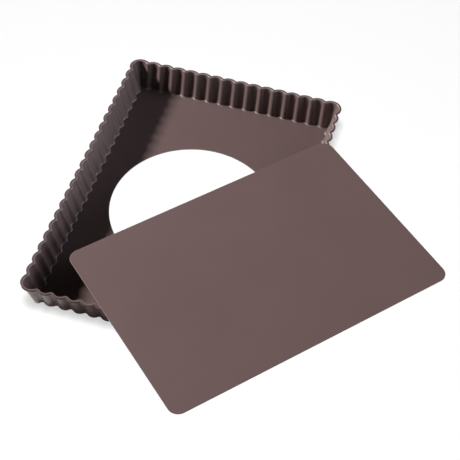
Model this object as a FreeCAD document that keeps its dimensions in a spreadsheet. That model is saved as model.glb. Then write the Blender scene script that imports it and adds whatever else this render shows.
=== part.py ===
"""A rectangular fluted tart pan with a loose bottom plate.

The pan is one stamped sheet: fluted walls that flare outwards, a narrow turned-out lip and a flat
flange round a large push-out hole. The loose base is a flat plate with rounded corners. It lies
across the rim, turned in plan, as it does when the pan is shown in its two pieces.

The frame is in millimetres. The origin is at the centre of the push-out hole on the underside,
+X runs along the pan's long side and +Z points up.
"""

import FreeCAD, Part
import math
import os

from FreeCAD import Placement, Rotation, Vector
from Sketcher import Constraint

SIZES = {
    # The pan, outside
    "pan_length": 280.0,
    "pan_width": 200.0,
    "pan_height": 26.6,
    "sheet_thickness": 0.6,
    "wall_flare": 6.4,
    "lip_width": 1.6,
    "lip_thickness": 1.0,
    # Its flutes: lobes bulge outwards, ridges between them point inwards
    "flutes_long": 21,
    "flutes_short": 14,
    "corner_run": 15.9,
    "flute_depth": 2.3,
    "ridge_radius": 2.4,
    "lip_flute_depth": 2.1,
    "lip_notch_radius": 0.6,
    # The push-out hole
    "hole_radius": 70.7,
    # The loose base
    "plate_length": 253.2,
    "plate_width": 172.4,
    "plate_thickness": 0.9,
    "plate_corner": 9.0,
    "plate_edge": 0.25,
    # Where the loose base lies on the rim
    "plate_x": 63.0,
    "plate_y": 74.3,
    "plate_yaw": -42.4,
    "rest_gap": 0.2,
}

# How a sketch numbers the points of a curve, and its own origin
START, END, CENTRE = 1, 2, 3
SKETCH_ORIGIN = -1

# Lengths below this, in millimetres, count as zero
TOUCH = 1e-6


def add_sheet(doc, sizes):
    """Spreadsheet of the driving dimensions, with one alias for each."""
    sheet = doc.addObject("Spreadsheet::Sheet", "Sizes")
    for row, (alias, value) in enumerate(sizes.items(), start=1):
        sheet.set(f"A{row}", alias)
        sheet.set(f"B{row}", str(value))
        sheet.setAlias(f"B{row}", alias)
    doc.recompute()
    return sheet


def lobe_radius(pitch, depth, ridge):
    """Radius of a lobe that meets ridges one pitch apart and stands proud of them by depth."""
    return ((pitch / 2) ** 2 + depth**2) / (2 * depth) - ridge


def corner_radius(run, notch, ridge):
    """Radius of the corner lobe that touches both crest lines and the two ridges beside it."""
    total = run + notch + ridge
    return total - math.sqrt(total**2 - (run**2 + notch**2 - ridge**2))


def outline_circles(sheet, narrowing, depth, ridge):
    """Ridges and lobes in turn, anticlockwise, as (centre, radius, is_lobe).

    narrowing is how far the crests stand inside the pan's outside size.
    """
    half_x = sheet.pan_length / 2 - narrowing
    half_y = sheet.pan_width / 2 - narrowing
    run = sheet.corner_run - narrowing
    notch = depth - ridge
    corner = corner_radius(run, notch, ridge)
    short_side = (half_x, half_y, sheet.flutes_short)
    long_side = (half_y, half_x, sheet.flutes_long)

    circles = []
    for quarter, (reach, half_side, flutes) in enumerate([short_side, long_side] * 2):
        turn = Rotation(Vector(0, 0, 1), 90 * quarter)
        pitch = 2 * (half_side - run) / flutes
        lobe = lobe_radius(pitch, depth, ridge)
        for step in range(2 * int(flutes) + 1):
            along = (step - flutes) * pitch / 2
            is_lobe = step % 2 == 1
            centre = Vector(reach - (lobe if is_lobe else notch), along, 0)
            circles.append((turn.multVec(centre), lobe if is_lobe else ridge, is_lobe))
        corner_centre = Vector(reach - corner, half_side - corner, 0)
        circles.append((turn.multVec(corner_centre), corner, True))
    return circles


def touch_point(circle, neighbour):
    """Point where two neighbouring circles touch."""
    (centre, radius, _), (other_centre, other_radius, _) = circle, neighbour
    return centre + (other_centre - centre) * (radius / (radius + other_radius))


def arc_between(circle, start, end):
    """Arc of the circle from start to end, anticlockwise on a lobe and clockwise on a ridge."""
    centre, radius, is_lobe = circle
    first = math.atan2(start.y - centre.y, start.x - centre.x)
    last = math.atan2(end.y - centre.y, end.x - centre.x)
    if is_lobe and last < first:
        last += 2 * math.pi
    if not is_lobe and last > first:
        last -= 2 * math.pi
    middle = (first + last) / 2
    on_arc = centre + Vector(radius * math.cos(middle), radius * math.sin(middle), 0)
    return Part.Arc(start, on_arc, end)


def fluted_outline(sheet, narrowing, inset=0.0, depth=None, ridge=None):
    """Closed chain of tangent arcs. inset moves the whole line inwards, keeping it parallel."""
    depth = sheet.flute_depth if depth is None else depth
    ridge = sheet.ridge_radius if ridge is None else ridge
    circles = [
        (centre, radius - inset if is_lobe else radius + inset, is_lobe)
        for centre, radius, is_lobe in outline_circles(sheet, narrowing, depth, ridge)
    ]
    touches = [touch_point(circle, circles[i - 1]) for i, circle in enumerate(circles)]
    return [
        arc_between(circle, touches[i], touches[(i + 1) % len(circles)])
        for i, circle in enumerate(circles)
    ]


def add_sketch(body, name, height):
    """Sketch parallel to the body's own XY plane, at a height given by an expression."""
    planes = body.Origin.OriginFeatures
    plane = next(feature for feature in planes if feature.Role == "XY_Plane")
    sketch = body.newObject("Sketcher::SketchObject", name)
    sketch.AttachmentSupport = [(plane, "")]
    sketch.MapMode = "FlatFace"
    sketch.setExpression("AttachmentOffset.Base.z", height)
    return sketch


def add_outline_sketch(body, name, height, outline):
    """Sketch that holds one fluted outline."""
    sketch = add_sketch(body, name, height)
    sketch.addGeometry(outline, False)
    return sketch


def add_loft(body, kind, name, lower, upper):
    """Ruled loft between two outline sketches."""
    loft = body.newObject(kind, name)
    loft.Profile = lower
    loft.Sections = [upper]
    loft.Ruled = True
    return loft


def add_pan_shell(doc, sheet):
    """The stamped pan: fluted tub, lip, hollow and push-out hole."""
    body = doc.addObject("PartDesign::Body", "PanShell")
    body.Label = "pan_shell"
    rim = sheet.lip_width
    foot = rim + sheet.wall_flare
    thickness = sheet.sheet_thickness
    top = "Sizes.pan_height"

    outer_foot = add_outline_sketch(body, "OuterFoot", "0", fluted_outline(sheet, foot))
    outer_rim = add_outline_sketch(body, "OuterRim", top, fluted_outline(sheet, rim))
    add_loft(body, "PartDesign::AdditiveLoft", "Tub", outer_foot, outer_rim)

    lip_line = fluted_outline(
        sheet, 0.0, depth=sheet.lip_flute_depth, ridge=sheet.lip_notch_radius
    )
    lip_height = "Sizes.pan_height - Sizes.lip_thickness"
    lip = body.newObject("PartDesign::Pad", "Lip")
    lip.Profile = add_outline_sketch(body, "LipOutline", lip_height, lip_line)
    lip.setExpression("Length", "Sizes.lip_thickness")

    inner_foot_line = fluted_outline(sheet, foot, inset=thickness)
    inner_rim_line = fluted_outline(sheet, rim, inset=thickness)
    inner_foot = add_outline_sketch(body, "InnerFoot", "Sizes.sheet_thickness", inner_foot_line)
    inner_rim = add_outline_sketch(body, "InnerRim", top, inner_rim_line)
    add_loft(body, "PartDesign::SubtractiveLoft", "Hollow", inner_foot, inner_rim)

    hole = body.newObject("PartDesign::Pocket", "PushOutHole")
    hole.Profile = add_circle_sketch(body, "HoleOutline", sheet.hole_radius, "Sizes.hole_radius")
    hole.Reversed = True
    hole.setExpression("Length", "Sizes.sheet_thickness")
    return body


def add_circle_sketch(body, name, radius, expression):
    """Sketch of one circle about the body's origin, its radius bound to the sheet."""
    sketch = add_sketch(body, name, "0")
    sketch.addGeometry(Part.Circle(Vector(0, 0, 0), Vector(0, 0, 1), radius), False)
    sketch.addConstraint(Constraint("Coincident", 0, CENTRE, SKETCH_ORIGIN, START))
    index = sketch.addConstraint(Constraint("Radius", 0, radius))
    sketch.setExpression(f"Constraints[{index}]", expression)
    return sketch


def add_rectangle_sketch(body, name, length, width):
    """Sketch of a rectangle centred on the origin. length and width are sheet aliases."""
    sheet = body.Document.Sizes
    x, y = getattr(sheet, length) / 2, getattr(sheet, width) / 2
    corners = [Vector(-x, -y, 0), Vector(x, -y, 0), Vector(x, y, 0), Vector(-x, y, 0)]
    sketch = add_sketch(body, name, "0")
    sides = [Part.LineSegment(corners[i - 1], corners[i]) for i in range(4)]
    sketch.addGeometry(sides, False)
    for side in range(4):
        sketch.addConstraint(Constraint("Coincident", side, END, (side + 1) % 4, START))
        sketch.addConstraint(Constraint("Vertical" if side % 2 == 0 else "Horizontal", side))
    sketch.addConstraint(Constraint("Symmetric", 0, END, 2, END, SKETCH_ORIGIN, START))
    long_index = sketch.addConstraint(Constraint("Distance", 1, 2 * x))
    sketch.setExpression(f"Constraints[{long_index}]", f"Sizes.{length}")
    short_index = sketch.addConstraint(Constraint("Distance", 0, 2 * y))
    sketch.setExpression(f"Constraints[{short_index}]", f"Sizes.{width}")
    return sketch


def edges_along(shape, direction):
    """Names of a shape's straight edges that run along a direction."""
    names = []
    for number, edge in enumerate(shape.Edges, start=1):
        ends = [vertex.Point for vertex in edge.Vertexes]
        if len(ends) == 2 and (ends[1] - ends[0]).cross(direction).Length < TOUCH:
            names.append(f"Edge{number}")
    return names


def edges_level(shape):
    """Names of a shape's edges that lie in a horizontal plane."""
    return [
        f"Edge{number}"
        for number, edge in enumerate(shape.Edges, start=1)
        if edge.BoundBox.ZLength < TOUCH
    ]


def add_fillet(body, name, base, edges, expression):
    """Fillet of the named edges, its radius bound to the sheet."""
    fillet = body.newObject("PartDesign::Fillet", name)
    fillet.Base = (base, edges)
    fillet.setExpression("Radius", expression)
    body.Document.recompute()
    return fillet


def add_loose_base(doc, sheet):
    """The flat bottom plate, lying across the rim of the pan."""
    body = doc.addObject("PartDesign::Body", "LooseBase")
    body.Label = "loose_base"
    plate = body.newObject("PartDesign::Pad", "Plate")
    plate.Profile = add_rectangle_sketch(body, "PlateOutline", "plate_length", "plate_width")
    plate.setExpression("Length", "Sizes.plate_thickness")
    doc.recompute()
    upright = edges_along(plate.Shape, Vector(0, 0, 1))
    corners = add_fillet(body, "Corners", plate, upright, "Sizes.plate_corner")
    add_fillet(body, "Edges", corners, edges_level(corners.Shape), "Sizes.plate_edge")

    body.Placement = Placement(Vector(), Rotation(Vector(0, 0, 1), sheet.plate_yaw))
    body.setExpression("Placement.Base.x", "Sizes.plate_x")
    body.setExpression("Placement.Base.y", "Sizes.plate_y")
    body.setExpression("Placement.Base.z", "Sizes.pan_height + Sizes.rest_gap")
    return body


def check(doc, bodies):
    """Stop if anything failed to compute."""
    for item in doc.Objects:
        if "Invalid" in item.State or "Error" in item.State:
            raise RuntimeError(f"{item.Label} did not compute: {item.State}")
    for body in bodies:
        if body.Shape.isNull() or not body.Shape.isValid() or len(body.Shape.Solids) != 1:
            raise RuntimeError(f"{body.Label} is not one valid solid")


def main():
    doc = FreeCAD.newDocument("TartPan")
    sheet = add_sheet(doc, SIZES)
    bodies = [add_pan_shell(doc, sheet), add_loose_base(doc, sheet)]
    doc.recompute()
    check(doc, bodies)
    os.makedirs("parts", exist_ok=True)
    for body in bodies:
        body.Shape.exportStep(os.path.join("parts", f"{body.Label}.step"))
        box = body.Shape.BoundBox
        size = f"{box.XLength:.2f} x {box.YLength:.2f} x {box.ZLength:.2f} mm"
        print(f"{body.Label}: {size}, {body.Shape.Volume:.0f} mm3, from z {box.ZMin:.2f}")


main()
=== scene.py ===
"""A rectangular fluted tart pan in brown-grey non-stick coating, with its loose base across the rim.

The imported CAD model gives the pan's and the plate's size and place. The two visible pieces are
built here as closed meshes that follow the same outlines and add what a stamped sheet shows: a
rounded lip, a bend at the foot of the walls and softened cut edges. Lengths are in metres.
"""

import math

import bpy
import numpy as np
from mathutils import Matrix, Vector


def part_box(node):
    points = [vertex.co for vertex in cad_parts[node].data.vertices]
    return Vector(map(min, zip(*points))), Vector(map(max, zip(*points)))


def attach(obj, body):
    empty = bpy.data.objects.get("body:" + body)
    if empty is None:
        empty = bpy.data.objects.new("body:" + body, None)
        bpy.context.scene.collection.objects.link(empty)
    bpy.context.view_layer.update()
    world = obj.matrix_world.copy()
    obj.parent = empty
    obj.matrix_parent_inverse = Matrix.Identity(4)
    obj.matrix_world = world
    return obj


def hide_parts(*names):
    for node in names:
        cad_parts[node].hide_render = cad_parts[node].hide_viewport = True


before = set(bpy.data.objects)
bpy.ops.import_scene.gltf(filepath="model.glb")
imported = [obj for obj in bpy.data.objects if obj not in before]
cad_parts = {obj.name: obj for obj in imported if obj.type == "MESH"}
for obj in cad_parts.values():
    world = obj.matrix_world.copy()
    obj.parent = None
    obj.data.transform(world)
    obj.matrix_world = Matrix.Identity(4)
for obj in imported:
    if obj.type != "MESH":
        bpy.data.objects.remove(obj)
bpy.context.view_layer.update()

MM = 0.001

# The pan's sheet and its flutes
SHEET = 0.6 * MM
WALL_FLARE = 6.4 * MM
FLUTES_LONG = 21
FLUTES_SHORT = 14
CORNER_RUN = 15.9 * MM
FLUTE_DEPTH = 2.3 * MM
RIDGE_RADIUS = 2.4 * MM

# The lip that the sheet turns out into at the rim
LIP_WIDTH = 1.6 * MM
LIP_THICKNESS = 1.0 * MM
LIP_FLUTE_DEPTH = 2.1 * MM
LIP_NOTCH_RADIUS = 0.6 * MM
RIM_ROUND = 0.8 * MM

# How much further in than the rim's crests the walls' feet are
FOOT_NARROWING = LIP_WIDTH + WALL_FLARE

# The bend at the foot of the walls, on the inside, and the hole
FOOT_BEND = 1.2 * MM
HOLE_RADIUS = 70.7 * MM
HOLE_EDGE_ROUND = 0.2 * MM

# How the flutes fade out on the flange: how far in from the foot, and the share of depth left
FLUTE_FADES = ((0.25 * MM, 0.98), (1.6 * MM, 0.65), (3.0 * MM, 0.3), (4.0 * MM, 0.01))

# The steps in which the flange's rounded rectangle then shrinks to the hole's circle
HOLE_SHARES = (0.33, 0.66, 0.97, 1.0)

# The loose base, and the loops on its faces that keep them flat up to the rounded edge
PLATE_LENGTH = 253.2 * MM
PLATE_WIDTH = 172.4 * MM
PLATE_CORNER = 9.0 * MM
PLATE_EDGE_ROUND = 0.3 * MM
PLATE_FACE_INSETS = (8.9 * MM, 4 * MM, 2 * PLATE_EDGE_ROUND)
PLATE_YAW = math.radians(-42.4)

# How finely the outlines are drawn
LOBE_STEPS = 10
CORNER_STEPS = 18
RIDGE_STEPS = 7
BEND_STEPS = 6
WALL_STEPS = 6
PLATE_CORNER_STEPS = 14

# How light the coating is painted at the bends, from 0 to 1: painted highlights for the glints along
# the inner foot and the rim's bend, lighter round the hole's edge, and rubbed light at the outer foot
# and the plate's edge; and how dark the lip is painted, as painted shade that deepens towards its
# outer edge
FOOT_BEND_HIGHLIGHT = 0.8
OUTER_FOOT_WEAR = 0.3
RIM_BEND_HIGHLIGHT = 1.0
HOLE_EDGE_LIGHTENING = 0.8
PLATE_WEAR = 0.25
LIP_SHADE_TOP = 0.6
LIP_SHADE_BOTTOM = 1.0

# The coating's colours, and how rough and glossy it is
PAN_COLOUR = (0.136, 0.09, 0.085)
# The pan's lighter colour serves both for real rubbing and for the painted highlights on its bends
PAN_RUBBED_AND_HIGHLIGHT_COLOUR = (0.32, 0.25, 0.24)
PAN_ROUGHNESS = 0.3
PAN_SPECULAR = 0.5
PLATE_COLOUR = (0.132, 0.083, 0.078)
PLATE_WORN_COLOUR = (0.23, 0.17, 0.16)
PLATE_ROUGHNESS = 0.55
PLATE_SPECULAR = 0.3

# The coating's fine detail. A scale is about how many of its noise's features fit in a metre.
MOTTLE_SCALE = 22.0
MOTTLE_DETAIL = 3.0
MOTTLE_SPREAD = 0.03
SPECKLE_SCALE = 2600.0
SPECKLE_DETAIL = 2.0
SPECKLE_LIFT = 1.22
SPECKLE_SHARE = 0.35
SPECKLE_START = 0.5
SPECKLE_END = 0.75
PATCH_SCALE = 260.0
PATCH_DETAIL = 4.0
PATCH_LEAST = 0.45
# How far the painted shade on the lip darkens the colour
LIP_SHADE_SHARE = 0.3
ROUGHNESS_SPREAD = 0.07
PEEL_SCALE = 900.0
PEEL_DETAIL = 2.0
PEEL_STRENGTH = 0.25
PEEL_DEPTH = 0.02 * MM

# The stage: how large, low and white the floor and the bounce card are, and the backdrop's glow
FLOOR_SIZE = 40.0
FLOOR_DROP = 0.2 * MM
CARD_DROP = 0.3 * MM
FLOOR_WHITE = 0.9
CARD_WHITE = 0.75
STAGE_ROUGHNESS = 0.9
BACKDROP_RADIUS = 0.45 * FLOOR_SIZE
BACKDROP_GLOW = 0.61

# The lamps' distance and colours, the fills' size, the floor's sun and the light from all round
LAMP_DISTANCE = 2.0
PLAIN_WHITE = (1.0, 1.0, 1.0)
FILL_SIZE = 0.8
COOL_WHITE = (0.93, 1.0, 1.13)
SUN_ENERGY = 2.0
AMBIENT = 0.02

# The camera's place and aim, measured from the middle of the rim, its roll and its lens
CAMERA_PLACE = (610.7 * MM, 184.8 * MM, 718.5 * MM)
CAMERA_AIM = (33.6 * MM, 42.9 * MM)
CAMERA_ROLL = math.radians(2.8)
CAMERA_LENS = 89.35
CAMERA_SENSOR = 36.0


def collection(name, objects):
    """A new collection of some objects, used to say which lights fall on what."""
    made = bpy.data.collections.new(name)
    for member in objects:
        made.objects.link(member)
    return made


# --- Outlines -----------------------------------------------------------------------------------


def outline_circles(half, narrowing, depth, ridge):
    """Ridges and lobes in turn, anticlockwise, as (centre, radius, is_lobe, steps).

    half is the half length and half width over the crests, before narrowing.
    """
    reach_x, reach_y = half[0] - narrowing, half[1] - narrowing
    run = CORNER_RUN - narrowing
    notch = depth - ridge
    total = run + notch + ridge
    corner = total - math.sqrt(total**2 - (run**2 + notch**2 - ridge**2))

    circles = []
    sides = [(reach_x, reach_y, FLUTES_SHORT), (reach_y, reach_x, FLUTES_LONG)] * 2
    for quarter, (reach, half_side, flutes) in enumerate(sides):
        turn = Matrix.Rotation(quarter * math.pi / 2, 2)
        pitch = 2 * (half_side - run) / flutes
        lobe = ((pitch / 2) ** 2 + depth**2) / (2 * depth) - ridge
        for step in range(2 * flutes + 1):
            is_lobe = step % 2 == 1
            centre = Vector((reach - (lobe if is_lobe else notch), (step - flutes) * pitch / 2))
            radius = lobe if is_lobe else ridge
            steps = LOBE_STEPS if is_lobe else RIDGE_STEPS
            circles.append((turn @ centre, radius, is_lobe, steps))
        centre = Vector((reach - corner, half_side - corner))
        circles.append((turn @ centre, corner, True, CORNER_STEPS))
    return circles


def fluted_loop(half, narrowing, inset=0.0, depth=FLUTE_DEPTH, ridge=RIDGE_RADIUS):
    """Points of one fluted outline. Every loop has the same number, so loops join up."""
    circles = [
        (centre, radius - inset if is_lobe else radius + inset, is_lobe, steps)
        for centre, radius, is_lobe, steps in outline_circles(half, narrowing, depth, ridge)
    ]
    touches = []
    for i, (centre, radius, _, _) in enumerate(circles):
        before, before_radius, _, _ = circles[i - 1]
        touches.append(centre + (before - centre) * (radius / (radius + before_radius)))

    points = []
    for i, (centre, radius, is_lobe, steps) in enumerate(circles):
        start, end = touches[i] - centre, touches[(i + 1) % len(circles)] - centre
        first, last = math.atan2(start.y, start.x), math.atan2(end.y, end.x)
        if is_lobe and last < first:
            last += 2 * math.pi
        if not is_lobe and last > first:
            last -= 2 * math.pi
        for angle in np.linspace(first, last, steps, endpoint=False):
            offset = Vector((math.cos(angle), math.sin(angle))) * radius
            points.append(centre + offset)
    return np.array(points)


def circle_loop(guide, radius):
    """Points of a circle at the same bearings as the guide loop's points."""
    return guide / np.linalg.norm(guide, axis=1)[:, None] * radius


def flange_loops(half, inset):
    """Flat loops from the foot's fluted line to just outside the hole.

    The flutes fade out in a few loops to a rounded rectangle, which then shrinks to the circle.
    """
    faded = [
        fluted_loop(half, FOOT_NARROWING + inwards, inset, FLUTE_DEPTH * share, RIDGE_RADIUS)
        for inwards, share in FLUTE_FADES
    ]
    rectangle = faded[-1]
    circle = circle_loop(rectangle, HOLE_RADIUS + 2 * HOLE_EDGE_ROUND)
    return faded + [rectangle + (circle - rectangle) * share for share in HOLE_SHARES]


def rounded_rectangle(length, width, corner, inset):
    """Points of a rounded rectangle, moved inwards by inset."""
    points = []
    centre_x, centre_y = length / 2 - corner, width / 2 - corner
    for quarter in range(4):
        sign_x = 1 if quarter in (0, 3) else -1
        sign_y = 1 if quarter in (0, 1) else -1
        first = quarter * math.pi / 2
        for angle in np.linspace(first, first + math.pi / 2, PLATE_CORNER_STEPS):
            x = sign_x * centre_x + (corner - inset) * math.cos(angle)
            y = sign_y * centre_y + (corner - inset) * math.sin(angle)
            points.append((x, y))
    return np.array(points)


# --- Rows of each piece: a flat outline, its height and how its coating looks ---------------------


def wall_lean(rise):
    """The angle that a wall leans out by, when it flares over a rise."""
    return math.atan(WALL_FLARE / rise)


def bend_reach(radius, lean):
    """How far a bend reaches in from the wall's own line, where it meets the level face."""
    return radius * math.tan((math.pi / 2 - lean) / 2)


def bend(radius, lean):
    """Points of a bend between a level face and a wall that leans outwards by an angle.

    Gives (distance in from the wall's own line, height), from the level face up to the wall.
    """
    for angle in np.linspace(0, math.pi / 2 - lean, BEND_STEPS):
        height = radius * (1 - math.cos(angle))
        inwards = bend_reach(radius, lean) - radius * math.sin(angle) + height * math.tan(lean)
        yield inwards, height


def inner_rows(half, height):
    """Rows inside the pan: the bend at the foot, the wall and the rounded rim."""
    rise = height - SHEET

    def narrowing(z):
        return FOOT_NARROWING - WALL_FLARE * (z - SHEET) / rise

    rows = []
    for step, (inwards, lift) in enumerate(bend(FOOT_BEND, wall_lean(rise))):
        z = SHEET + lift
        # Painted highlight: the middle of the foot bend is painted lighter, standing for the glint
        # along it.
        foot_highlight = FOOT_BEND_HIGHLIGHT * math.sin(math.pi * step / (BEND_STEPS - 1))
        rows.append((fluted_loop(half, narrowing(z), SHEET + inwards), z, foot_highlight))
    rim_start = height - RIM_ROUND
    for z in np.linspace(rows[-1][1], rim_start, WALL_STEPS)[1:]:
        rows.append((fluted_loop(half, narrowing(z), SHEET), z, 0.0))
    for angle in np.linspace(0, math.pi / 2, BEND_STEPS)[1:]:
        outwards = RIM_ROUND * (1 - math.cos(angle))
        z = rim_start + RIM_ROUND * math.sin(angle)
        line = fluted_loop(half, narrowing(rim_start), SHEET - outwards)
        # Painted highlight: the rim's bend is painted lighter, standing for the glint along it.
        rows.append((line, z, RIM_BEND_HIGHLIGHT * math.sin(2 * angle)))
    return rows


def lip_rows(half, height):
    """Rows over the lip, whose outer edge is a half round."""
    rows = []
    edge_round = LIP_THICKNESS / 2
    for angle in np.linspace(0, math.pi, 2 * BEND_STEPS):
        inset = edge_round * (1 - math.sin(angle))
        z = height - edge_round + edge_round * math.cos(angle)
        line = fluted_loop(half, 0.0, inset, LIP_FLUTE_DEPTH, LIP_NOTCH_RADIUS)
        # Painted shade: the lip is painted darker, more so towards its outer edge.
        lip_shade = LIP_SHADE_TOP + (LIP_SHADE_BOTTOM - LIP_SHADE_TOP) * math.sin(angle / 2)
        rows.append((line, z, -lip_shade))
    return rows


def outer_rows(half, height):
    """Rows outside the pan: down the wall and round the bend at the foot."""

    def narrowing(z):
        return FOOT_NARROWING - WALL_FLARE * z / height

    rows = []
    foot = list(bend(FOOT_BEND + SHEET, wall_lean(height)))
    for z in np.linspace(height - LIP_THICKNESS, foot[-1][1], WALL_STEPS)[:-1]:
        rows.append((fluted_loop(half, narrowing(z)), z, 0.0))
    for inwards, z in reversed(foot):
        rows.append((fluted_loop(half, narrowing(z), inwards), z, OUTER_FOOT_WEAR))
    return rows


def bottom_rows(half, height):
    """Rows underneath, round the hole's edge, and back across the flange on top."""
    underside = flange_loops(half, bend_reach(FOOT_BEND + SHEET, wall_lean(height)))
    rows = [(line, 0.0, 0.0) for line in underside]
    middle = SHEET / 2
    for angle in np.linspace(-math.pi / 2, math.pi / 2, 2 * BEND_STEPS):
        radius = HOLE_RADIUS + HOLE_EDGE_ROUND * (1 - math.cos(angle))
        z = middle + math.copysign(middle - HOLE_EDGE_ROUND, angle)
        z += HOLE_EDGE_ROUND * math.sin(angle)
        # The hole's rounded edge is made lighter.
        rows.append((circle_loop(underside[-1], radius), z, HOLE_EDGE_LIGHTENING))
    top = flange_loops(half, SHEET + bend_reach(FOOT_BEND, wall_lean(height - SHEET)))
    rows += [(line, SHEET, 0.0) for line in reversed(top)]
    return rows


def pan_rows(half, height):
    """Rows round the pan's sheet, from the foot inside, up, over the lip, down and underneath."""
    rows = inner_rows(half, height)
    rows += lip_rows(half, height)
    rows += outer_rows(half, height)
    rows += bottom_rows(half, height)
    return rows


def plate_rows(low, high):
    """Rows round the plate from its top to its underside, between two heights."""
    middle = (low + high) / 2
    straight = (high - low) / 2 - PLATE_EDGE_ROUND
    path = [(inset, high, 0.0) for inset in PLATE_FACE_INSETS]
    for angle in np.linspace(0, math.pi, 2 * BEND_STEPS):
        side = math.cos(angle)
        z = middle + math.copysign(straight, side) + PLATE_EDGE_ROUND * side
        path.append((PLATE_EDGE_ROUND * (1 - math.sin(angle)), z, PLATE_WEAR))
    path += [(inset, low, 0.0) for inset in reversed(PLATE_FACE_INSETS)]
    return [
        (rounded_rectangle(PLATE_LENGTH, PLATE_WIDTH, PLATE_CORNER, inset), z, row_rub_highlight_shade)
        for inset, z, row_rub_highlight_shade in path
    ]


# --- Meshes -------------------------------------------------------------------------------------


def mesh_from_rows(name, rows, closed_ring):
    """Mesh of quads between rows. closed_ring joins the last row to the first.

    A row's last value says how its coating looks: up to 1 is lighter, as rubbing or as a painted
    highlight, and down to -1 is painted shade on the lip.
    """
    count = len(rows[0][0])
    index = np.arange(len(rows) * count).reshape(len(rows), count)
    ahead = np.roll(index, -1, axis=1)
    above = np.roll(index, -1, axis=0)
    above_ahead = np.roll(above, -1, axis=1)
    quads = np.stack([index, ahead, above_ahead, above], axis=2)
    if not closed_ring:
        quads = quads[:-1]
    faces = quads.reshape(-1, 4).tolist()
    if not closed_ring:
        faces.append(index[0][::-1].tolist())
        faces.append(index[-1].tolist())

    points = np.concatenate([np.column_stack([line, np.full(count, z)]) for line, z, _ in rows])
    rub_highlight_and_shade = np.repeat([row_rub_highlight_shade for _, _, row_rub_highlight_shade in rows], count)
    mesh = bpy.data.meshes.new(name)
    mesh.from_pydata(points.tolist(), [], faces)
    mesh.attributes.new("rub_highlight_and_shade", "FLOAT", "POINT").data.foreach_set("value", rub_highlight_and_shade)
    mesh.shade_smooth()
    mesh.validate()
    return mesh


def make_object(name, mesh, material):
    """Object of a mesh with one material, linked to the scene."""
    made = bpy.data.objects.new(name, mesh)
    mesh.materials.append(material)
    bpy.context.scene.collection.objects.link(made)
    return made


# --- Material -----------------------------------------------------------------------------------


def scaled(colour, share):
    """A colour with each channel multiplied."""
    return tuple(channel * share for channel in colour)


def place_on_object(tree, seed):
    """The point on the object, shifted so that each material's noise differs."""
    place = tree.nodes.new("ShaderNodeTexCoord")
    shift = tree.nodes.new("ShaderNodeMapping")
    shift.inputs["Location"].default_value = (seed, seed * 0.7, seed * 0.3)
    tree.links.new(place.outputs["Object"], shift.inputs["Vector"])
    return shift.outputs["Vector"]


def noise(tree, place, scale, detail):
    """Noise in space, from 0 to 1."""
    made = tree.nodes.new("ShaderNodeTexNoise")
    made.inputs["Scale"].default_value = scale
    made.inputs["Detail"].default_value = detail
    tree.links.new(place, made.inputs["Vector"])
    return made.outputs["Fac"]


def remap(tree, value, low, high, start=0.3, end=0.7):
    """A value's range from start to end, moved to low to high and clamped there."""
    made = tree.nodes.new("ShaderNodeMapRange")
    made.inputs["From Min"].default_value = start
    made.inputs["From Max"].default_value = end
    made.inputs["To Min"].default_value = low
    made.inputs["To Max"].default_value = high
    tree.links.new(value, made.inputs["Value"])
    return made.outputs["Result"]


def mix_colour(tree, factor, first, second):
    """A mix of two colours, each a node's output or plain numbers."""
    made = tree.nodes.new("ShaderNodeMix")
    made.data_type = "RGBA"
    tree.links.new(factor, made.inputs["Factor"])
    for socket, value in ((made.inputs["A"], first), (made.inputs["B"], second)):
        if isinstance(value, bpy.types.NodeSocket):
            tree.links.new(value, socket)
        else:
            socket.default_value = (*value, 1.0)
    return made.outputs["Result"]


def coating_colour(tree, place, speckle, colour, rubbed_and_highlight_colour):
    """Faintly mottled and speckled colour, darkened by painted shade on the lip and patchily lightened
    by rubbing and painted highlights.
    """
    mottle = remap(tree, noise(tree, place, MOTTLE_SCALE, MOTTLE_DETAIL), 0.0, 1.0)
    darker, lighter = scaled(colour, 1 - MOTTLE_SPREAD), scaled(colour, 1 + MOTTLE_SPREAD)
    body = mix_colour(tree, mottle, darker, lighter)
    flecks = remap(tree, speckle, 0.0, SPECKLE_SHARE, SPECKLE_START, SPECKLE_END)
    body = mix_colour(tree, flecks, body, scaled(colour, SPECKLE_LIFT))

    rub_highlight_and_shade = tree.nodes.new("ShaderNodeAttribute")
    rub_highlight_and_shade.attribute_name = "rub_highlight_and_shade"
    # Painted shade on the lip, where the value is below zero.
    lip_shade_mix = remap(tree, rub_highlight_and_shade.outputs["Fac"], 1.0, 0.0, -1.0, 0.0)
    body = mix_colour(tree, lip_shade_mix, body, scaled(colour, LIP_SHADE_SHARE))
    # Painted highlights and rubbing, where the value is above zero, lightened in patches.
    patchy = tree.nodes.new("ShaderNodeMath")
    patchy.operation = "MULTIPLY"
    tree.links.new(rub_highlight_and_shade.outputs["Fac"], patchy.inputs[0])
    patches = remap(tree, noise(tree, place, PATCH_SCALE, PATCH_DETAIL), PATCH_LEAST, 1.0)
    tree.links.new(patches, patchy.inputs[1])
    return mix_colour(tree, patchy.outputs["Value"], body, rubbed_and_highlight_colour)


def orange_peel(tree, place):
    """The fine unevenness of a sprayed and baked coating, as a normal."""
    bump = tree.nodes.new("ShaderNodeBump")
    bump.inputs["Strength"].default_value = PEEL_STRENGTH
    bump.inputs["Distance"].default_value = PEEL_DEPTH
    tree.links.new(noise(tree, place, PEEL_SCALE, PEEL_DETAIL), bump.inputs["Height"])
    return bump.outputs["Normal"]


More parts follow.
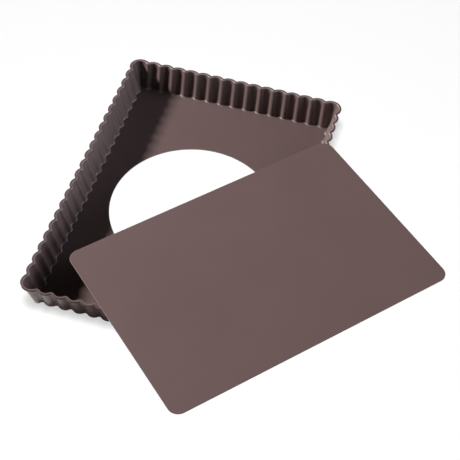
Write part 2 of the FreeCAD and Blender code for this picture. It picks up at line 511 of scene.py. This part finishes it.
def coating(name, colour, rubbed_and_highlight_colour, roughness, specular, seed):
    """Satin non-stick coating: faint mottling, fine orange peel, slightly rubbed edges, painted
    highlights on the bends and painted shade on the lip.
    """
    material = bpy.data.materials.new(name)
    material.use_nodes = True
    tree = material.node_tree
    shader = tree.nodes["Principled BSDF"]
    shader.inputs["Metallic"].default_value = 0.0
    shader.inputs["Specular IOR Level"].default_value = specular

    place = place_on_object(tree, seed)
    speckle = noise(tree, place, SPECKLE_SCALE, SPECKLE_DETAIL)
    body = coating_colour(tree, place, speckle, colour, rubbed_and_highlight_colour)
    smooth, coarse = roughness - ROUGHNESS_SPREAD, roughness + ROUGHNESS_SPREAD
    rough = remap(tree, speckle, smooth, coarse, 0.0, 1.0)
    tree.links.new(body, shader.inputs["Base Color"])
    tree.links.new(rough, shader.inputs["Roughness"])
    tree.links.new(orange_peel(tree, place), shader.inputs["Normal"])
    return material


# --- The two pieces -----------------------------------------------------------------------------


def build_pan():
    """The stamped pan, in place of the CAD shell."""
    low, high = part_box("pan_shell")
    half = ((high.x - low.x) / 2, (high.y - low.y) / 2)
    mesh = mesh_from_rows("stamped_pan", pan_rows(half, high.z), closed_ring=True)
    finish = coating("pan_coating", PAN_COLOUR, PAN_RUBBED_AND_HIGHLIGHT_COLOUR, PAN_ROUGHNESS, PAN_SPECULAR, 1.0)
    pan = make_object("stamped_pan", mesh, finish)
    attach(pan, "pan")
    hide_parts("pan_shell")
    return pan


def build_plate():
    """The loose base, lying where the CAD plate lies."""
    low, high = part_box("loose_base")
    centre = (low + high) / 2
    mesh = mesh_from_rows("bottom_plate", plate_rows(low.z, high.z), closed_ring=False)
    turn = Matrix.Rotation(PLATE_YAW, 4, "Z")
    mesh.transform(Matrix.Translation((centre.x, centre.y, 0)) @ turn)
    finish = coating(
        "base_coating", PLATE_COLOUR, PLATE_WORN_COLOUR, PLATE_ROUGHNESS, PLATE_SPECULAR, 5.0
    )
    plate = make_object("bottom_plate", mesh, finish)
    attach(plate, "base")
    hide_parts("loose_base")
    return plate


# --- Stage, light and camera --------------------------------------------------------------------


def pale_plane(name, drop, whiteness):
    """A wide pale plane a little below the pan."""
    bpy.ops.mesh.primitive_plane_add(size=FLOOR_SIZE, location=(0, 0, -drop))
    plane = bpy.context.object
    plane.name = name
    material = bpy.data.materials.new(name)
    material.use_nodes = True
    shader = material.node_tree.nodes["Principled BSDF"]
    shader.inputs["Base Color"].default_value = (whiteness, whiteness, whiteness, 1.0)
    shader.inputs["Roughness"].default_value = STAGE_ROUGHNESS
    plane.data.materials.append(material)
    return plane


def build_floor():
    """A plain white floor, and a greyer card under it that gives the key light's bounce.

    The camera sees only the floor. The pieces get their bounce only from the card, so that the
    floor can be evenly white while the pan and plate still shade the light from below.
    """
    floor = pale_plane("floor", FLOOR_DROP, FLOOR_WHITE)
    floor.visible_diffuse = False
    floor.visible_glossy = False
    floor.visible_shadow = False
    card = pale_plane("bounce_card", CARD_DROP, CARD_WHITE)
    card.visible_camera = False
    return floor, card


def build_backdrop():
    """A pale dome round the stage. Only the camera sees it, so it lights nothing."""
    bpy.ops.mesh.primitive_uv_sphere_add(radius=BACKDROP_RADIUS)
    dome = bpy.context.object
    dome.name = "backdrop"
    material = bpy.data.materials.new("backdrop")
    material.use_nodes = True
    shader = material.node_tree.nodes["Principled BSDF"]
    shader.inputs["Base Color"].default_value = (0.0, 0.0, 0.0, 1.0)
    shader.inputs["Specular IOR Level"].default_value = 0.0
    shader.inputs["Emission Color"].default_value = (1.0, 1.0, 1.0, 1.0)
    shader.inputs["Emission Strength"].default_value = BACKDROP_GLOW
    dome.data.materials.append(material)
    dome.visible_diffuse = False
    dome.visible_glossy = False
    dome.visible_shadow = False


def make_lamp(name, light, falls_on):
    """A lamp that lights only one collection's objects."""
    lamp = bpy.data.objects.new(name, light)
    bpy.context.scene.collection.objects.link(lamp)
    lamp.light_linking.receiver_collection = falls_on
    return lamp


def area_light(name, bearing, elevation, size, power, falls_on, colour=PLAIN_WHITE):
    """Square area light aimed at the pan. bearing is from +X towards +Y, in degrees."""
    light = bpy.data.lights.new(name, "AREA")
    light.shape = "SQUARE"
    light.color = colour
    light.size = size
    light.energy = power
    lamp = make_lamp(name, light, falls_on)
    around, up = math.radians(bearing), math.radians(elevation)
    away = Vector((math.cos(up) * math.cos(around), math.cos(up) * math.sin(around), math.sin(up)))
    lamp.location = away * LAMP_DISTANCE
    lamp.rotation_euler = away.to_track_quat("Z", "Y").to_euler()
    return lamp


def light_pieces(pan, plate, card):
    """A key from the left and cool fills from the right, on the pieces and the bounce card."""
    lit = collection("lit_by_key", [pan, plate, card])
    area_light("key", bearing=-91, elevation=31.0, size=0.25, power=76.0, falls_on=lit)
    fills = (("fill", 93, 11, 21.0), ("fill_far", 135, 12, 8.0), ("fill_high", 110, 35, 5.0))
    for name, bearing, elevation, power in fills:
        area_light(name, bearing, elevation, FILL_SIZE, power, lit, COOL_WHITE)


def light_floor(pan, floor):
    """Two washes on the floor alone: an even one, and one from above that the pan shades."""
    washed = collection("lit_by_wash", [floor])
    sun = bpy.data.lights.new("open_wash", "SUN")
    sun.energy = SUN_ENERGY
    sun.angle = 0.0
    sun.use_shadow = False
    make_lamp("open_wash", sun, washed)
    foot_wash = area_light("foot_wash", bearing=0, elevation=80, size=0.6, power=20.0, falls_on=washed)
    foot_wash.light_linking.blocker_collection = collection("shades_the_floor", [pan])


def build_world():
    """A faint even light from all round."""
    world = bpy.data.worlds.new("studio")
    world.use_nodes = True
    background = world.node_tree.nodes["Background"]
    background.inputs["Color"].default_value = (1.0, 1.0, 1.0, 1.0)
    background.inputs["Strength"].default_value = AMBIENT
    bpy.context.scene.world = world


def build_camera(rim_height):
    """Camera that looks down on the pan from past its near short side."""
    data = bpy.data.cameras.new("camera")
    data.sensor_width = CAMERA_SENSOR
    data.lens = CAMERA_LENS
    camera = bpy.data.objects.new("camera", data)
    bpy.context.scene.collection.objects.link(camera)
    x, y, above_rim = CAMERA_PLACE
    camera.location = Vector((x, y, above_rim + rim_height))
    aim = Vector((*CAMERA_AIM, rim_height))
    facing = (aim - camera.location).to_track_quat("-Z", "Y")
    roll = Matrix.Rotation(CAMERA_ROLL, 4, "Z")
    camera.rotation_euler = (facing.to_matrix().to_4x4() @ roll).to_euler()
    bpy.context.scene.camera = camera


pan = build_pan()
plate = build_plate()
floor, card = build_floor()
build_backdrop()
light_pieces(pan, plate, card)
light_floor(pan, floor)
build_world()
build_camera(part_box("pan_shell")[1].z)
bpy.context.scene.view_settings.view_transform = "Standard"
